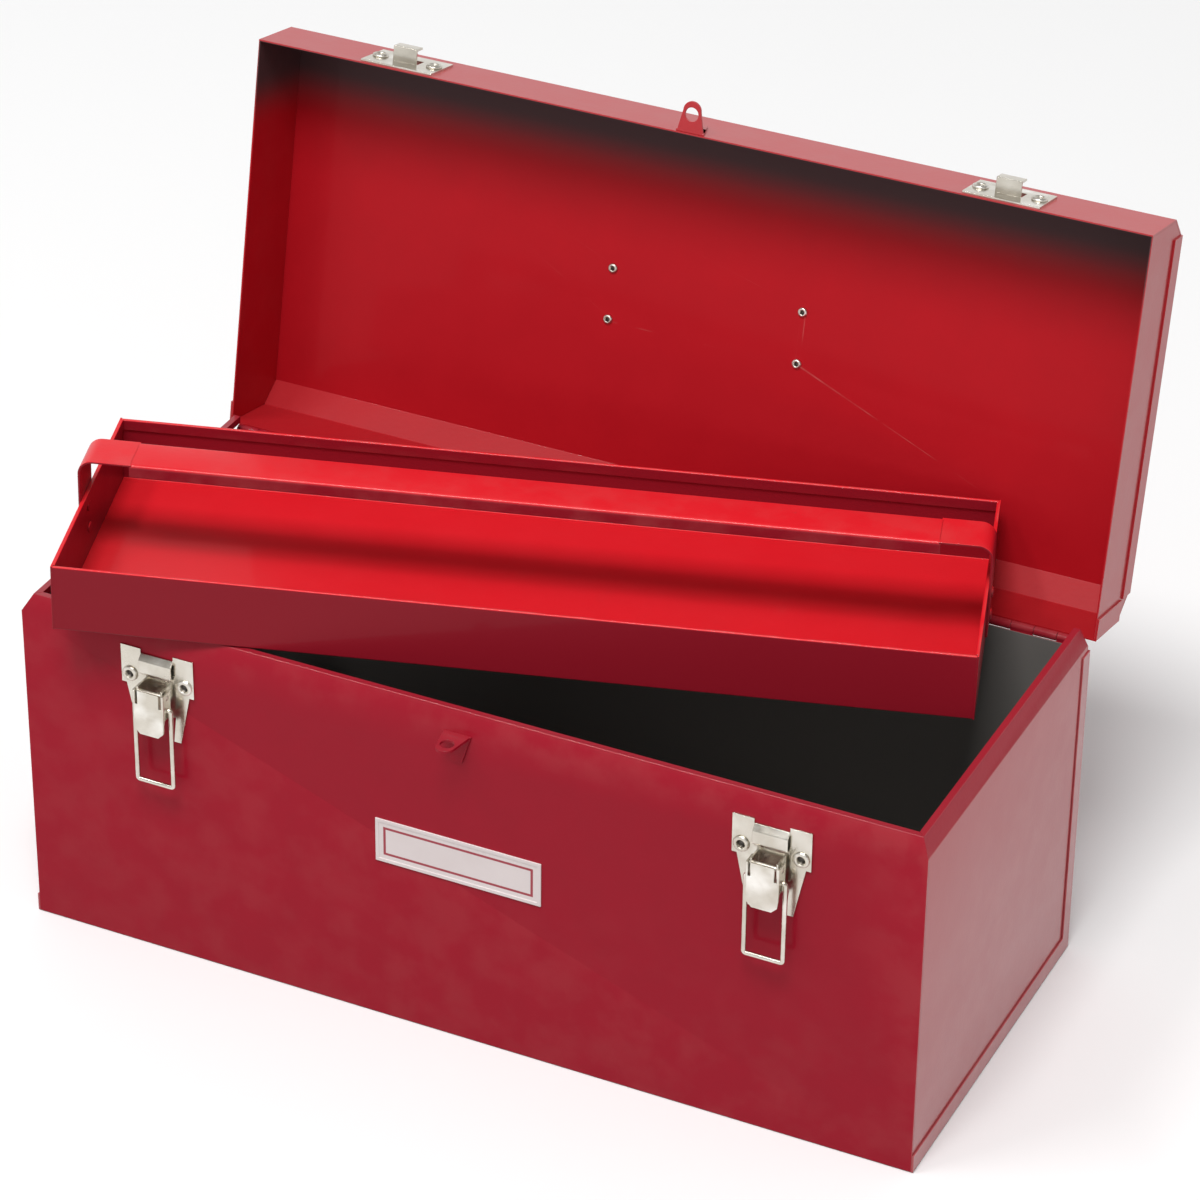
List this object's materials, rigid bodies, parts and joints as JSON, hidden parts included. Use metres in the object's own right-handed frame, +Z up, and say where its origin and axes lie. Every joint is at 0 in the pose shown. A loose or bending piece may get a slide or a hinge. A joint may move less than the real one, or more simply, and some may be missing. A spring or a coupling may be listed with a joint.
{
  "type": "steel toolbox with lift-out tray",
  "caption": "Red steel hand toolbox: open hinged lid with a carry handle, draw latches with wire loops, padlock eyes and a lift-out tray with a strap handle.",
  "frame": {"origin": "middle of the box body's underside, on the floor", "axes": "+X along the box to its right end seen from the front, +Y from the latched front to the hinge, +Z up"},
  "size_m": [0.5222, 0.3337, 0.4191],
  "materials": {
    "box_enamel": "gloss red enamel",
    "lid_enamel": "gloss red enamel",
    "hinge_enamel": "gloss red enamel over the folded hinge",
    "tray_enamel": "bright gloss red enamel",
    "ledge_enamel": "satin red enamel",
    "latch_plating": "nickel plated, lightly tarnished",
    "rivet_plating": "nickel plated",
    "wire_plating": "nickel plated wire",
    "hinge_wire": "drawn steel wire",
    "handle_plating": "nickel plated",
    "grip_plastic": "black moulded grip",
    "plate_face": "satin name plate with no lettering"
  },
  "bodies": {
    "body": {"body_wrap": "box_enamel", "end_panel_left": "box_enamel", "end_panel_right": "box_enamel", "edge_strip_left": "box_enamel", "edge_strip_right": "box_enamel", "hinge_leaf_body": "hinge_enamel", "hinge_pin": "hinge_wire", "latch_plate_left": "latch_plating", "latch_plate_right": "latch_plating", "latch_rivets_left": "rivet_plating", "latch_rivets_right": "rivet_plating", "latch_pin_left": "rivet_plating", "latch_pin_right": "rivet_plating", "padlock_eye_body": "box_enamel", "name_plate": "plate_face", "tray_rest_left": "ledge_enamel", "tray_rest_right": "ledge_enamel"},
    "lid": {"lid_shell": "lid_enamel", "lid_end_left": "lid_enamel", "lid_end_right": "lid_enamel", "hinge_leaf_lid": "hinge_enamel", "lid_strike_left": "latch_plating", "lid_strike_right": "latch_plating", "strike_rivets_left": "rivet_plating", "strike_rivets_right": "rivet_plating", "padlock_eye_lid": "lid_enamel", "handle_bracket_left": "handle_plating", "handle_bracket_right": "handle_plating", "handle_rivets": "rivet_plating"},
    "handle": {"carry_handle": "handle_plating", "handle_grip": "grip_plastic"},
    "lever_left": {"latch_lever_left": "latch_plating"},
    "lever_right": {"latch_lever_right": "latch_plating"},
    "loop_left": {"latch_loop_left": "wire_plating"},
    "loop_right": {"latch_loop_right": "wire_plating"},
    "tray": {"tray_pan": "tray_enamel", "tray_end_left": "tray_enamel", "tray_end_right": "tray_enamel", "tray_handle": "tray_enamel", "tray_handle_rivets": "tray_enamel"}
  },
  "joints": [
    {"name": "lid_hinge", "type": "hinge", "parent": "body", "child": "lid", "pos_m": [0, 0.1104, 0.188], "axis": [-1, 0, 0], "range_deg": [-101.5, 0]},
    {"name": "handle_swing", "type": "hinge", "parent": "lid", "child": "handle", "pos_m": [0, 0.1894, 0.28285], "axis": [1, 0, 0], "range_deg": [-6.5, 163.5]},
    {"name": "latch_left", "type": "hinge", "parent": "body", "child": "lever_left", "pos_m": [-0.172, -0.1152, 0.165], "axis": [-1, 0, 0], "range_deg": [0, 150]},
    {"name": "loop_left", "type": "hinge", "parent": "lever_left", "child": "loop_left", "pos_m": [-0.172, -0.1152, 0.1575], "axis": [1, 0, 0], "range_deg": [-160, 0]},
    {"name": "latch_right", "type": "hinge", "parent": "body", "child": "lever_right", "pos_m": [0.172, -0.1152, 0.165], "axis": [-1, 0, 0], "range_deg": [0, 150]},
    {"name": "loop_right", "type": "hinge", "parent": "lever_right", "child": "loop_right", "pos_m": [0.172, -0.1152, 0.1575], "axis": [1, 0, 0], "range_deg": [-160, 0]},
    {"name": "tray_slide", "type": "slide", "parent": "body", "child": "tray", "axis": [0, -0.9986, 0.0523], "range_m": [0, 0.366]}
  ],
  "couplings": [
    {"joint": "tray_slide", "follows": "lid_hinge", "m_per_rad": -0.20627}
  ]
}
